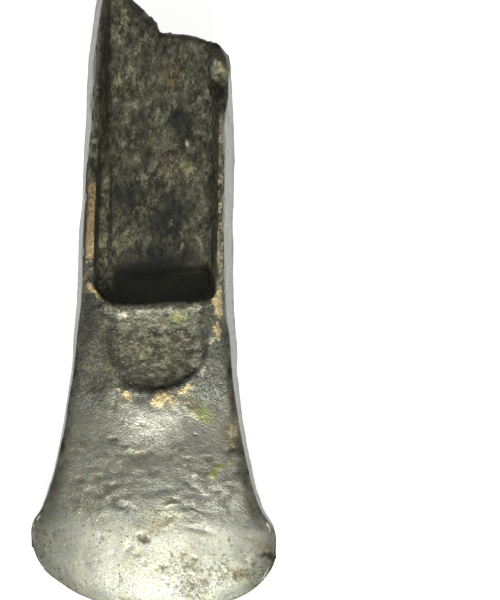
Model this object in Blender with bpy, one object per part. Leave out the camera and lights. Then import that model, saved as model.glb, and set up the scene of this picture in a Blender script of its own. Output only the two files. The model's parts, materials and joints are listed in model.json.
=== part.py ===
"""A Bronze Age palstave: a cast bronze axe head for a split wooden haft, broken across its butt.

It is one solid casting. Each face has a haft seat between two side flanges, which ends at a stop
ledge, then a sunken shield panel, then the plain blade with its crescent cutting edge. It lies on
its back face as it would on a table: on the flanges' highest points and on the ribs by the shield.
"""

import math

import bmesh
import bpy
import numpy as np
from mathutils import Vector

MM = 0.001

# Everything below is in millimetres in the casting's own frame: X across the blade, S along the axe
# from the lowest point of the cutting edge towards the butt, Z through the thickness.

# Overall
BLANK_LENGTH = 166.0  # the casting is lofted past the butt, and the break cuts it back
CUTTER_END_S = BLANK_LENGTH + 8.0  # the butt's cutters run on past it
BREAK_TOP = 158.0
STOP_S = 77.8
WARP_START = 60.0  # below this the cross-sections bend to follow the cutting edge

# Knots of the outline, each (S, value), joined by smooth monotone curves
HALF_WIDTH = (
    (14.5, 30.6), (19.0, 30.3), (22.5, 29.6), (25.7, 28.0), (29.5, 26.5), (37.0, 24.4), (48.0, 22.1),
    (60.0, 20.75), (71.0, 20.1), (82.0, 19.5), (104.0, 18.9), (123.0, 18.4), (138.0, 18.0),
    (150.0, 16.8), (BLANK_LENGTH, 15.3),
)
HALF_THICKNESS = (
    (0.0, 0.25), (3.5, 1.75), (7.0, 2.9), (14.5, 4.9), (22.0, 6.6), (29.5, 8.0), (37.0, 8.9),
    (48.0, 9.75), (53.0, 10.5), (60.0, 12.0), (63.0, 12.6), (67.0, 12.85), (78.0, 13.65), (90.0, 14.55),
    (105.0, 15.75), (112.0, 15.4), (120.0, 14.7), (127.0, 13.8), (135.0, 12.5), (142.0, 11.2),
    (150.0, 9.3), (BLANK_LENGTH, 5.5),
)
# How far the side's median seam stands out past the corner of the face
SEAM_RISE = ((0.0, 0.5), (20.0, 0.8), (53.0, 1.1), (STOP_S, 2.0), (105.0, 2.3), (BLANK_LENGTH, 2.3))
# How far the face falls from its middle to its corner, and how squarely it does so
CROWN = ((0.0, 0.2), (45.0, 0.7), (58.0, 1.1), (70.0, 1.4), (81.0, 0.8), (95.0, 0.0), (BLANK_LENGTH, 0.0))
CROWN_POWER = ((0.0, 2.0), (45.0, 2.2), (62.0, 5.0), (BLANK_LENGTH, 5.0))
MOST_CROWN = 0.5  # share of the half thickness

# Cutting edge, as (X, S): a crescent that sits a little askew, with blunt corners
EDGE_LINE = (
    (-29.8, 16.0), (-28.7, 13.4), (-26.5, 10.2), (-22.6, 7.2), (-18.0, 4.5), (-10.0, 1.7), (-2.0, 0.2),
    (2.3, 0.0), (8.0, 0.4), (16.0, 2.1), (21.3, 3.85), (24.8, 5.6), (28.4, 8.6), (29.5, 9.9), (30.6, 11.6),
    (31.7, 14.3),
)
EDGE_LEFT_X = EDGE_LINE[0][0]
EDGE_RIGHT_X = EDGE_LINE[-1][0]
CORNER_HALF_THICKNESS = 1.6
CORNER_BLUNT_FROM = 0.82  # share of the half width where the edge starts to thicken
CORNER_BLUNT_POWER = 4  # how soon the blunting fades away from the cutting edge

# Haft seat: septum between the flanges, walls and stop ledge that lean outwards as a mould needs
SEPTUM_HALF = 3.4
SEAT_FLOOR_HALF_WIDTH = 13.0
SEAT_FLOOR_HALF_WIDTH_AT_BUTT = 11.8
SEAT_WALL_LEAN = 0.17  # outwards per unit of height
SEAT_WALL_LEAN_AT_BUTT = 0.30
STOP_LEDGE_LEAN = 0.03  # towards the cutting edge per unit of height
SEAT_CORNER_RADIUS = 3.0
CUTTER_TOP = 22.0

# Shield panel below each stop
SHIELD_OVERLAP = SEAT_CORNER_RADIUS + 0.3  # its cut runs on into the seat, past the seat's rounded corners
SHIELD_SQUARENESS = 0.85  # 1 gives an ellipse, and less gives fuller shoulders
SHIELD_END_S = 55.6
SHIELD_SHOULDER_S = 72.0
SHIELD_FLOOR_AT_STOP = 12.0
SHIELD_FLOOR_AT_END = 9.6
SHIELD_WALL_LEAN = 0.5
SHIELDS = {  # side, half width, X of the middle, X of the point from there, how much shallower
    "front_shield_cutter": (1, 12.7, 0.9, -2.4, 0.0),
    "back_shield_cutter": (-1, 14.5, 0.0, 0.0, 0.4),
}

# The break across the butt: a tall spike by the left flange, a step, then the right shoulder
BREAK_LINE = (
    (-19.5, 157.0), (-15.5, 157.9), (-12.5, BREAK_TOP - 0.4), (-9.9, 155.6), (-7.3, 153.4),
    (-5.2, 151.2), (-2.7, 149.2), (-1.0, 147.7), (-0.3, 145.3), (2.3, 144.9), (6.0, 144.8),
    (9.8, 144.1), (12.4, 143.4), (14.8, 141.9), (16.2, 139.8), (16.9, 137.4), (17.3, 134.6), (19.5, 132.0),
)
BREAK_SLANT = 0.9  # the broken face leans this much each side of the middle
BREAK_OVERHANG = 3.0  # its cutter reaches this far past the line's two ends

# The right front flange is broken down towards the butt: its top edge there, as (S, Z)
RUINED_FLANGE = (
    (118.5, CUTTER_TOP), (121.0, 15.6), (124.5, 14.2), (127.0, 11.6), (130.0, 8.8), (133.0, 6.9),
    (133.9, 7.0), (135.6, 9.8), (137.4, 10.8), (139.2, 9.8), (141.4, 7.4), (146.0, 5.5),
)
RUINED_INNER_X = 11.0
RUINED_OUTER_X = 26.0

# Chips: (X, S, Z) of the middle, then the half sizes
CHIPS = {
    "corner_dent": ((32.2, 17.6, 0.0), (1.4, 1.9, 4.0)),
    "back_flange_chip": ((-17.2, 96.0, -16.2), (1.5, 2.8, 1.5)),
}

# Mesh density
STRAIGHT_STATIONS = 36
WARPED_STATIONS = 24
FACE_COLUMNS = 28  # even, so that one column runs down the middle
ARC_STEPS = 6

# Pose on the table: pitched until the flange tops and the shield's ribs both touch
LIE_PITCH = math.radians(4.9)
MIDDLE_S = BREAK_TOP / 2

BRONZE_COLOUR = (0.085, 0.085, 0.070, 1.0)
BRONZE_ROUGHNESS = 0.42
BRONZE_METALLIC = 0.55


def curve_at(knots, at):
    """Smooth curve through (place, value) knots that never overshoots them."""
    places, values = np.array(knots).T
    steps = np.diff(places)
    slopes = np.diff(values) / steps
    tangents = np.zeros(len(places))
    same_way = slopes[:-1] * slopes[1:] > 0
    inner = tangents[1:-1]
    inner[same_way] = 2 / (1 / slopes[:-1][same_way] + 1 / slopes[1:][same_way])
    tangents[0], tangents[-1] = slopes[0], slopes[-1]
    index = int(np.clip(np.searchsorted(places, at) - 1, 0, len(steps) - 1))
    step = steps[index]
    t = min(max((at - places[index]) / step, 0.0), 1.0)
    start = (2 * t**3 - 3 * t**2 + 1) * values[index] + (t**3 - 2 * t**2 + t) * step * tangents[index]
    end = (3 * t**2 - 2 * t**3) * values[index + 1] + (t**3 - t**2) * step * tangents[index + 1]
    return float(start + end)


def point(x, s, z):
    """A place on the casting, in metres, with Y = 0 halfway along it."""
    return Vector((x, s - MIDDLE_S, z)) * MM


def edge_s(x):
    """S of the cutting edge at this X."""
    return curve_at(EDGE_LINE, x)


def corner_blunting(across, nearness):
    """Half thickness that the blade's blunt corner keeps, where across is 1 at the corner."""
    reach = max(0.0, (across - CORNER_BLUNT_FROM) / (1 - CORNER_BLUNT_FROM))
    return CORNER_HALF_THICKNESS * nearness * reach * reach * (3 - 2 * reach)


def half_width_at(s, warp, corner_x):
    """Half width where a section meets the side that ends at the blade corner corner_x."""
    corner_s = edge_s(corner_x)
    flare = abs(corner_x) / curve_at(HALF_WIDTH, corner_s)
    return curve_at(HALF_WIDTH, s + warp * corner_s) * (1 + warp * (flare - 1))


def station_ring(s, warp):
    """One cross-section as a closed ring: front face, right seam, back face, left seam.

    s is where the section crosses the middle, and warp runs from 0 to 1 at the cutting edge.
    """
    half_thickness = curve_at(HALF_THICKNESS, s)
    crown = min(curve_at(CROWN, s), half_thickness * MOST_CROWN)
    power = curve_at(CROWN_POWER, s)
    seam_rise = curve_at(SEAM_RISE, s)
    front = []
    for share in np.linspace(-1, 1, FACE_COLUMNS + 1):
        corner_x = EDGE_RIGHT_X if share > 0 else EDGE_LEFT_X
        face_half_width = half_width_at(s, warp, corner_x) - seam_rise
        along = s + warp * edge_s(abs(share) * corner_x)
        height = half_thickness - crown * abs(share) ** power
        height = max(height, corner_blunting(abs(share), warp**CORNER_BLUNT_POWER))
        front.append((share * face_half_width, along, height))
    back = [(x, along, -height) for x, along, height in reversed(front)]
    right_seam = (front[-1][0] + seam_rise, front[-1][1], 0.0)
    left_seam = (front[0][0] - seam_rise, front[0][1], 0.0)
    return [point(*place) for place in (*front, right_seam, *back, left_seam)]


def add_object(name, mesh_builder, pose):
    """A new object in the scene from a bmesh, riding on the pose empty."""
    bmesh.ops.recalc_face_normals(mesh_builder, faces=mesh_builder.faces)
    mesh = bpy.data.meshes.new(name)
    mesh_builder.to_mesh(mesh)
    mesh_builder.free()
    added = bpy.data.objects.new(name, mesh)
    bpy.context.collection.objects.link(added)
    added.parent = pose
    return added


def add_casting(pose):
    """The solid casting before any hollow is cut, lofted from the butt to the cutting edge."""
    straight = [(s, 0.0) for s in np.linspace(BLANK_LENGTH, WARP_START, STRAIGHT_STATIONS)]
    warped = []
    for step in range(1, WARPED_STATIONS + 1):
        warp = step / WARPED_STATIONS
        warped.append((WARP_START * (1 - warp), warp))
    builder = bmesh.new()
    rings = []
    for s, warp in straight + warped:
        rings.append([builder.verts.new(place) for place in station_ring(s, warp)])
    for near, far in zip(rings, rings[1:]):
        for index in range(len(near)):
            after = (index + 1) % len(near)
            builder.faces.new((near[index], near[after], far[after], far[index]))
    builder.faces.new(rings[0])
    close_edge(builder, rings[-1])
    return add_object("axe_head", builder, pose)


def close_edge(builder, ring):
    """The narrow flat along the cutting edge, between the last front and back rows."""
    count = FACE_COLUMNS + 1
    front = ring[:count]
    right = ring[count]
    back = ring[2 * count : count : -1]
    left = ring[-1]
    builder.faces.new((left, front[0], back[0]))
    for index in range(FACE_COLUMNS):
        builder.faces.new((front[index], front[index + 1], back[index + 1], back[index]))
    builder.faces.new((front[-1], right, back[-1]))


def add_prism_cutter(name, low, high, pose):
    """A closed prism between two outlines of (X, S, Z) points, left out of the render."""
    builder = bmesh.new()
    low_ring = [builder.verts.new(point(*place)) for place in low]
    high_ring = [builder.verts.new(point(*place)) for place in high]
    builder.faces.new(low_ring)
    builder.faces.new(high_ring)
    for index in range(len(low_ring)):
        after = (index + 1) % len(low_ring)
        builder.faces.new((low_ring[index], low_ring[after], high_ring[after], high_ring[index]))
    cutter = add_object(name, builder, pose)
    cutter.hide_render = True
    cutter.display_type = "WIRE"
    return cutter


def seat_outline(height):
    """Haft seat in plan, this far above its floor: in from the butt, round the two corners, and back."""
    radius = SEAT_CORNER_RADIUS
    stop_s = STOP_S - STOP_LEDGE_LEAN * height
    half = SEAT_FLOOR_HALF_WIDTH + SEAT_WALL_LEAN * height
    half_at_butt = SEAT_FLOOR_HALF_WIDTH_AT_BUTT + SEAT_WALL_LEAN_AT_BUTT * height
    right = [(half_at_butt, CUTTER_END_S)]
    for step in range(ARC_STEPS + 1):
        turn = math.radians(90) * step / ARC_STEPS
        x = half - radius + radius * math.cos(turn)
        right.append((x, stop_s + radius - radius * math.sin(turn)))
    left = [(-x, s) for x, s in reversed(right)]
    return right + left


def add_seat_cutter(name, side, pose):
    """The space between the flanges on one face: side is 1 for the front and -1 for the back."""
    low = [(x, s, side * SEPTUM_HALF) for x, s in seat_outline(0.0)]
    high = [(x, s, side * CUTTER_TOP) for x, s in seat_outline(CUTTER_TOP - SEPTUM_HALF)]
    return add_prism_cutter(name, low, high, pose)


def shield_outline(half, middle, point_lean, lean_out):
    """Shield panel in plan: straight sides below the stop, then a rounded point."""
    half = half + lean_out
    depth = SHIELD_SHOULDER_S - SHIELD_END_S + lean_out
    outline = [(middle + half, STOP_S + SHIELD_OVERLAP)]
    for step in range(2 * ARC_STEPS + 1):
        turn = math.radians(180) * step / (2 * ARC_STEPS)
        down = math.sin(turn) ** SHIELD_SQUARENESS
        out = math.copysign(abs(math.cos(turn)) ** SHIELD_SQUARENESS, math.cos(turn))
        x = middle + half * out + point_lean * down**3
        outline.append((x, SHIELD_SHOULDER_S - depth * down))
    outline.append((middle - half, STOP_S + SHIELD_OVERLAP))
    return outline


def add_shield_cutter(name, side, half, middle, point_lean, shallower, pose):
    """The sunken panel: its floor slopes down from the stop's lip to the shield's point."""
    fall = (SHIELD_FLOOR_AT_STOP - SHIELD_FLOOR_AT_END) / (STOP_S - SHIELD_END_S)
    lean_out = SHIELD_WALL_LEAN * (CUTTER_TOP - SHIELD_FLOOR_AT_END)
    low = []
    for x, s in shield_outline(half, middle, point_lean, 0.0):
        floor = SHIELD_FLOOR_AT_STOP + fall * (s - STOP_S) + shallower
        low.append((x, s, side * floor))
    high = [(x, s, side * CUTTER_TOP) for x, s in shield_outline(half, middle, point_lean, lean_out)]
    return add_prism_cutter(name, low, high, pose)


def add_break_cutter(pose):
    """Everything past the old break across the butt."""
    right_x = BREAK_LINE[-1][0] + BREAK_OVERHANG
    left_x = BREAK_LINE[0][0] - BREAK_OVERHANG
    outline = (*BREAK_LINE, (right_x, CUTTER_END_S), (left_x, CUTTER_END_S))
    low = [(x, s - BREAK_SLANT, -CUTTER_TOP) for x, s in outline]
    high = [(x, s + BREAK_SLANT, CUTTER_TOP) for x, s in outline]
    return add_prism_cutter("break_cutter", low, high, pose)


def add_ruined_flange_cutter(pose):
    """Everything above the broken-down top of the right front flange."""
    outline = (*RUINED_FLANGE, (CUTTER_END_S, RUINED_FLANGE[-1][1]), (CUTTER_END_S, CUTTER_TOP))
    low = [(RUINED_INNER_X, s, z) for s, z in outline]
    high = [(RUINED_OUTER_X, s, z) for s, z in outline]
    return add_prism_cutter("ruined_flange_cutter", low, high, pose)


def add_chip_cutter(name, middle, half_sizes, pose):
    """A rounded lump that takes a chip out of an edge."""
    builder = bmesh.new()
    bmesh.ops.create_icosphere(builder, subdivisions=2, radius=1.0)
    for vert in builder.verts:
        scaled = [centre + share * half for centre, share, half in zip(middle, vert.co, half_sizes)]
        vert.co = point(*scaled)
    cutter = add_object(name, builder, pose)
    cutter.hide_render = True
    cutter.display_type = "WIRE"
    return cutter


def subtract(casting, cutters):
    for cutter in cutters:
        cut = casting.modifiers.new(cutter.name, "BOOLEAN")
        cut.operation = "DIFFERENCE"
        cut.solver = "EXACT"
        cut.object = cutter


def bronze():
    """Dark patinated bronze."""
    material = bpy.data.materials.new("patinated_bronze")
    material.use_nodes = True
    shader = material.node_tree.nodes["Principled BSDF"]
    shader.inputs["Base Color"].default_value = BRONZE_COLOUR
    shader.inputs["Roughness"].default_value = BRONZE_ROUGHNESS
    shader.inputs["Metallic"].default_value = BRONZE_METALLIC
    return material


def add_pose():
    """Empty that everything rides on, pitched as the axe lies."""
    pose = bpy.data.objects.new("lying_pose", None)
    bpy.context.collection.objects.link(pose)
    pose.rotation_euler.x = LIE_PITCH
    return pose


def rest_on_ground(casting, pose):
    """Move the pose so that the finished casting's box stands on Z = 0, centred on the origin."""
    evaluated = casting.evaluated_get(bpy.context.evaluated_depsgraph_get())
    places = np.array([evaluated.matrix_world @ vert.co for vert in evaluated.data.vertices])
    low, high = places.min(axis=0), places.max(axis=0)
    pose.location = (-(low[0] + high[0]) / 2, -(low[1] + high[1]) / 2, -low[2])


def main():
    for old in list(bpy.data.objects):
        bpy.data.objects.remove(old)
    pose = add_pose()
    casting = add_casting(pose)
    casting.data.materials.append(bronze())
    cutters = [
        add_seat_cutter("front_seat_cutter", 1, pose),
        add_seat_cutter("back_seat_cutter", -1, pose),
        add_break_cutter(pose),
        add_ruined_flange_cutter(pose),
    ]
    cutters += [add_shield_cutter(name, *shield, pose) for name, shield in SHIELDS.items()]
    cutters += [add_chip_cutter(name, *chip, pose) for name, chip in CHIPS.items()]
    subtract(casting, cutters)
    rest_on_ground(casting, pose)


main()
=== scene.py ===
import json
import math

import bpy
import numpy as np
from mathutils import Matrix, Vector


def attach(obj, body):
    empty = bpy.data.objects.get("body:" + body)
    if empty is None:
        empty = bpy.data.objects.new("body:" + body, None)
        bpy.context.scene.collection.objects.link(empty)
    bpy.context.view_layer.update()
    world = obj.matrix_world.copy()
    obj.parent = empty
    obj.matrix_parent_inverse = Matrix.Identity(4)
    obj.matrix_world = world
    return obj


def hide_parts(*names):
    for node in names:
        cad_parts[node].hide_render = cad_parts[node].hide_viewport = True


# The looks of a broken Bronze Age palstave. One detailed mesh stands for the plain casting.
#
# The casting's own frame is in millimetres: X across the blade, S along the axe from the lowest point
# of the cutting edge towards the butt, Z through the thickness, with the front face at +Z.
# Names that end in _S and _X are places in that frame.

MM = 0.001
STOP_S = 77.8
WARP_START_S = 60.0  # below this the rows of the mesh bend to follow the cutting edge
BREAK_FOLLOW_S = 126.0  # above this they bend to follow the break across the butt
BUTT_NOMINAL_S = 150.0

# Knots of the outline, each (S, value), joined by smooth monotone curves
HALF_WIDTH = (
    (14.5, 30.6), (19, 30.4), (22.5, 29.7), (25.7, 27.9), (29.5, 26.4), (33.2, 25.2), (41, 23.4),
    (48, 22.1), (63, 20.5), (78, 19.6), (97, 19.1), (112, 18.8), (127, 18.2), (138, 17.9), (149, 16.8),
    (153, 16.3), (158, 15.7),
)
HALF_THICKNESS = (
    (0, 0.25), (3.5, 1.75), (7, 2.9), (14.5, 4.9), (22, 6.6), (29.5, 8), (37, 8.9), (48, 9.75),
    (53, 10.5), (60, 12), (63, 12.6), (67, 12.85), (78, 13.65), (90, 14.55), (105, 15.75), (112, 15.4),
    (120, 14.7), (127, 13.8), (135, 12.5), (142, 11.2), (150, 9.3), (158, 7.4),
)
SEAM_RISE = ((0, 0.3), (20, 0.65), (53, 1), (STOP_S, 1.9), (105, 2.1), (158, 2.1))
CROWN = (  # how much lower a face is at its edges than at its middle
    (0, 0.2), (12, 0.9), (30, 1.3), (60, 1.3), (70, 1.5), (81, 0.8), (92, 0), (158, 0),
)
CROWN_STARTS = ((0, 0), (50, 0), (64, 14.6), (158, 14.6))

# What the left and right sides add to the half width
LEFT_EXTRA = (
    (14.5, 0.3), (21, 0.9), (26, 0.4), (33, 0.4), (45, 0.3), (52, 0.35), (60, 0), (70, 0.25),
    (79, 0.05), (92, 0.4), (104, -0.1), (117, -0.1), (130, 0.1), (158, -0.1),
)
RIGHT_EXTRA = (
    (14.5, 0), (22, -0.1), (27, -0.4), (34, -0.1), (45, 0.15), (60, 0.05), (68, 0.4), (76, 0),
    (98, -0.1), (108, 0.15), (124, 0.35), (132, 0), (158, 0),
)

# The ridge of the casting seam along each side: its share of SEAM_RISE, and on the right its height
LEFT_RISE_SHARE = (
    (0, 0.72), (78, 0.74), (90, 0.78), (97, 0.68), (104, 0.56), (112, 0.62), (122, 0.90), (158, 0.85),
)
RIGHT_RISE_SHARE = 1.1
SEAM_Z = (
    (0, 0), (16, -0.5), (40, -2.4), (75, -3.6), (100, -4.8), (112, -5.2), (125, -3.6), (158, -3),
)

# Cutting edge: as (X, S), with blunt corners
EDGE_LINE = (
    (-29.8, 16), (-28.7, 13.4), (-26.5, 10.2), (-22.6, 7.2), (-18, 4.5), (-10, 1.7), (-2, 0.2),
    (2.3, 0), (8, 0.4), (16, 2.1), (21.3, 3.85), (24.8, 5.6), (28.4, 8.6), (29.5, 9.9), (30.6, 11.6),
    (31.7, 14.3),
)
EDGE_LEFT_X = EDGE_LINE[0][0]
EDGE_RIGHT_X = EDGE_LINE[-1][0]
CORNER_HALF_THICKNESS = 1.3
CORNER_BLUNT_FROM = 0.86

# Where the bevel of the cutting edge fades out and where it is whole
BEVEL_FROM_S = 26.0
BEVEL_FULL_S = 20.5

# Haft seat: half the septum's thickness, and how far out the floor and the walls reach
SEPTUM_HALF = 3.4
SEPTUM_MOUNT_S = 110.0  # the record's mount on the front of the septum stands here
SEAT_FLOOR_EDGE = ((80, 13.1), (140, 12.5), (158, 12.2))
LEFT_FLOOR_EDGE = ((80, 12), (92, 11.5), (112, 11.4), (128, 11.9), (158, 12.5))
LEFT_INNER_EDGE = (
    (80, 15.3), (90, 15.25), (98, 15.2), (105, 15), (112, 14.85), (128, 14.7), (158, 14.7),
)
FLANGE_INNER_EDGE = ((80, 15.4), (105, 15.2), (126, 15), (131, 14), (139, 13.6), (158, 14.5))
LEFT_CORNER_RADIUS = 3.7
RIGHT_CORNER_RADIUS = 2.0

# Flanges: the least width of their tops, and how far these fall off at their edges
LEAST_FLANGE = 0.8
FLANGE_ROUNDING = 0.22
SHOULDER_WIDTH = 1.4
SHOULDER_DROP = 1.1
RUINED_SEAM_LOSS = 0.62  # share of the seam's rise that is lost beside the ruined flange

# How a wall of the seat rises from floor to flange; the left front one has a shelf
WALL_PROFILE = ((0, 0), (0.18, 0.05), (0.42, 0.26), (0.90, 0.92), (1, 1))
SHELF_PROFILE = ((0, 0), (0.14, 0.11), (0.40, 0.15), (0.72, 0.20), (0.80, 0.30), (0.95, 0.92), (1, 1))
UPPER_PROFILE = ((0, 0), (0.10, 0.10), (0.24, 0.14), (0.50, 0.42), (0.94, 0.95), (1, 1))
SHELF_END_S = (108.0, 119.0)  # the shelf fades out between these
PAINTED_SHADOW_LINE = (  # as (X, S): painted shadow blackens the corner below the stop up to here
    (-14.5, 77), (-12.8, 79.5), (-11.2, 82.5), (-9.4, 86.6), (-7, 88.4), (4, 89.2), (9, 88.4),
    (12, 87.6),
)
SHADE_LINE = (  # as (X, S): where the stop's shadow ends
    (-14, 85.6), (-9, 84.8), (-5, 84.2), (0, 84.7), (12, 86.4),
)
RUINED_FLANGE = (  # height left of the right front flange, near the break
    (120, 20), (124.5, 14.4), (127, 11.6), (130, 8.8), (133, 6.9), (133.9, 7), (135.6, 9.8),
    (137.4, 10.8), (139.2, 9.8), (141.4, 7.4), (146, 5.5),
)
BARE_STRIP = (  # how far out the bare strip on the left flange reaches
    (88, 17.25), (95, 17.15), (101, 16.9), (107, 16.75),
)
LEDGE_RAMP = 0.5  # how far along the axe the ledge's wall takes to rise
LIP_LINE = (  # as (X, how far along the axe the stop is from STOP_S)
    (-15.5, 1.9), (-13.4, 0.9), (-11, -0.7), (-7.4, -1.2), (-3.4, -1.2), (-1.5, -0.6), (3, -0.1),
    (8, 0.1), (11, 0.6), (14, 1.1), (15.5, 1.5),
)
LIP_ROUNDING = 0.55
LIP_ROUNDING_LENGTH = 1.3
LIP_FOOT_S = 71.0  # the lip rises out of the shield from here
LIP_FULL_S = 72.6
LIP_CREST_S = 76.4

# Shield panel
SHIELD_HALF_WIDTH = 13.2
SHIELD_MIDDLE_X = 0.9
SHIELD_TURN_S = 72.0
SHIELD_END_S = 54.9
SHIELD_POWER = 2.35
SHIELD_LEAN = -2.4  # its point sits this far left of its middle
SHIELD_FLOOR_AT_STOP = 12.1
SHIELD_FLOOR_AT_END = 9.25
BACK_SHIELD_RISE = 0.35  # the back's is shallower by this

# The break across the butt, as (X, S)
BREAK_LINE = (
    (-18.5, 156.6), (-15.5, 157.9), (-12.5, 157.5), (-9.9, 155.6), (-7.3, 153.4), (-5.2, 151.2),
    (-2.7, 149.2), (-1, 147.7), (-0.4, 145.6), (0.3, 145.1), (2.3, 144.9), (6, 144.8), (9.8, 144.1),
    (12.4, 143.4), (13.6, 142.9), (14.8, 141.9), (16.2, 139.8), (16.9, 137.4), (17.3, 134.6),
    (18.5, 132.6),
)
BREAK_BEVEL = 0.9
BREAK_THINNING = 1.5  # what the floor of the seat loses there

# Mesh: columns on each half of a face, by zone from the middle outwards, and rows along the axe
FLOOR_COLUMNS = 40
WALL_COLUMNS = 14
TOP_COLUMNS = 8
FACE_COLUMNS = FLOOR_COLUMNS + WALL_COLUMNS + TOP_COLUMNS
SIDE_COLUMNS = 22
HALF_COLUMNS = FACE_COLUMNS + SIDE_COLUMNS
BUTT_ROWS = 150
LEDGE_ROWS = 9
SHIELD_ROWS = 56
BLADE_ROWS = 140
BREAK_ROWS = 9
FIRST_HALF_WIDTH = 18.0  # where the search for each point's X starts from

# Looks and stage
MOST_COARSE = 2.0  # the other tints go from 0 to 1
BUMP_DEPTH = 0.08
FLOOR_SIZE = 30.0
FLOOR_GLOW = 0.86
LAMP_DISTANCE = 3.0
ZENITH = (0.24, 0.24, 0.23)
SENSOR = 36.0
CAMERA_HEIGHT = 1100.0
FRAME_HEIGHT = 150.0
AXE_LEANS = 1.114
AIM_X = 23.57
AIM_S = 78.7


# ---------------------------------------------------------------- curves and noise


def curve(knots, at):
    """Smooth curve through (place, value) knots that never overshoots them, for an array of places."""
    places, values = np.array(knots).T
    steps = np.diff(places)
    slopes = np.diff(values) / steps
    tangents = np.zeros(len(places))
    same_way = np.flatnonzero(slopes[:-1] * slopes[1:] > 0)
    tangents[same_way + 1] = 2 / (1 / slopes[same_way] + 1 / slopes[same_way + 1])
    tangents[0], tangents[-1] = slopes[0], slopes[-1]
    index = np.clip(np.searchsorted(places, at) - 1, 0, len(steps) - 1)
    step = steps[index]
    t = np.clip((at - places[index]) / step, 0.0, 1.0)
    start = (2 * t**3 - 3 * t**2 + 1) * values[index] + (t**3 - 2 * t**2 + t) * step * tangents[index]
    end = (3 * t**2 - 2 * t**3) * values[index + 1] + (t**3 - t**2) * step * tangents[index + 1]
    return start + end


def polyline(knots, at):
    """Straight lines through (place, value) knots, for an array of places."""
    places, values = np.array(knots).T
    return np.interp(at, places, values)


def ramp(at, start, end):
    """0 before start and 1 after end, with a smooth step between; start may be above end."""
    t = np.clip((at - start) / (end - start), 0.0, 1.0)
    return t * t * (3 - 2 * t)


def between(at, start, full, fading, end):
    """1 from full to fading, and 0 before start and after end, with smooth steps between."""
    return ramp(at, start, full) * ramp(at, end, fading)


def lattice_value(x, y, z, seed):
    """The same scattered value from -1 to 1 each run for each whole-number place."""
    mixed = (x * 374761393 + y * 668265263 + z * 1440662683 + seed * 1274126177) & 0xFFFFFFFF
    mixed = ((mixed ^ (mixed >> 13)) * 1274126177) & 0xFFFFFFFF
    return ((mixed ^ (mixed >> 16)) & 0xFFFF) / 32767.5 - 1.0


def noise(places, seed):
    """Smooth value noise from -1 to 1 at an array of 3-D places."""
    cell = np.floor(places).astype(np.int64)
    t = places - cell
    t = t * t * (3 - 2 * t)
    total = 0.0
    for corner in np.ndindex(2, 2, 2):
        weight = np.prod(np.where(corner, t, 1 - t), axis=-1)
        x, y, z = (cell[..., axis] + corner[axis] for axis in range(3))
        total = total + weight * lattice_value(x, y, z, seed)
    return total


def bell(at, middle, spread):
    """1 at the middle, falling away smoothly on both sides."""
    return np.exp(-(((at - middle) / spread) ** 2))


def layered_noise(places, size, octaves, seed):
    """Noise of this feature size in mm with finer layers on it."""
    total, strength, norm = 0.0, 1.0, 0.0
    for octave in range(octaves):
        total = total + strength * noise(places / size * 2.03**octave + 17.3 * octave, seed + octave)
        norm += strength
        strength *= 0.5
    return total / norm


# ---------------------------------------------------------------- the shape


def edge_s(x):
    """S of the cutting edge at this X."""
    return curve(EDGE_LINE, x)


def rows_along():
    """Each row's S at the middle, and how far it bends towards the cutting edge, from 0 to 1."""
    top, foot = STOP_S + LEDGE_RAMP / 2, STOP_S - LEDGE_RAMP / 2
    butt = np.linspace(BUTT_NOMINAL_S, top, BUTT_ROWS, endpoint=False)
    ledge = np.linspace(top, foot, LEDGE_ROWS, endpoint=False)
    shield = np.linspace(foot, WARP_START_S, SHIELD_ROWS, endpoint=False)
    bend = np.linspace(0.0, 1.0, BLADE_ROWS)
    s = np.concatenate([butt, ledge, shield, WARP_START_S * (1 - bend)])
    bend = np.concatenate([np.zeros(len(s) - BLADE_ROWS), bend])
    return s[:, None], bend[:, None]


def break_bevel(x):
    """How far the broken end slopes back along the axe from its furthest point."""
    return BREAK_BEVEL + 1.6 * ramp(x, 0.5, -1.5) * ramp(x, -15.5, -11.0)


def bent_s(row_s, bend, x, share, corner_x):
    """Where a row really runs at this X: along the break, the lip or the cutting edge."""
    follow = np.clip((row_s - BREAK_FOLLOW_S) / (BUTT_NOMINAL_S - BREAK_FOLLOW_S), 0.0, 1.0)
    to_break = polyline(BREAK_LINE, x) - 0.5 * BREAK_BEVEL + 0.3 * jag(x) - BREAK_FOLLOW_S
    s = np.where(follow > 0, BREAK_FOLLOW_S + to_break * follow, row_s)
    near_lip = np.clip(1 - ((row_s - STOP_S) / 12.0) ** 2, 0.0, 1.0) ** 2
    s = s + curve(LIP_LINE, x) * near_lip
    return s + bend * edge_s(share * corner_x)


def jag(x):
    """Fine unevenness along the broken edge."""
    places = np.stack([x / 1.1, 0 * x + 0.5, 0 * x], axis=-1)
    return noise(places, 5) + 0.5 * noise(places * 2.7, 6)


def seat_corner(row_s, radius):
    """How far the seat's walls turn in beside the stop, and how the columns swing back past it."""
    above = np.clip(row_s - STOP_S, 0.0, radius)
    turned = radius - np.sqrt(radius**2 - (radius - above) ** 2)
    return np.where(row_s > STOP_S, turned, radius * ramp(row_s, STOP_S - 7.0, STOP_S))


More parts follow.
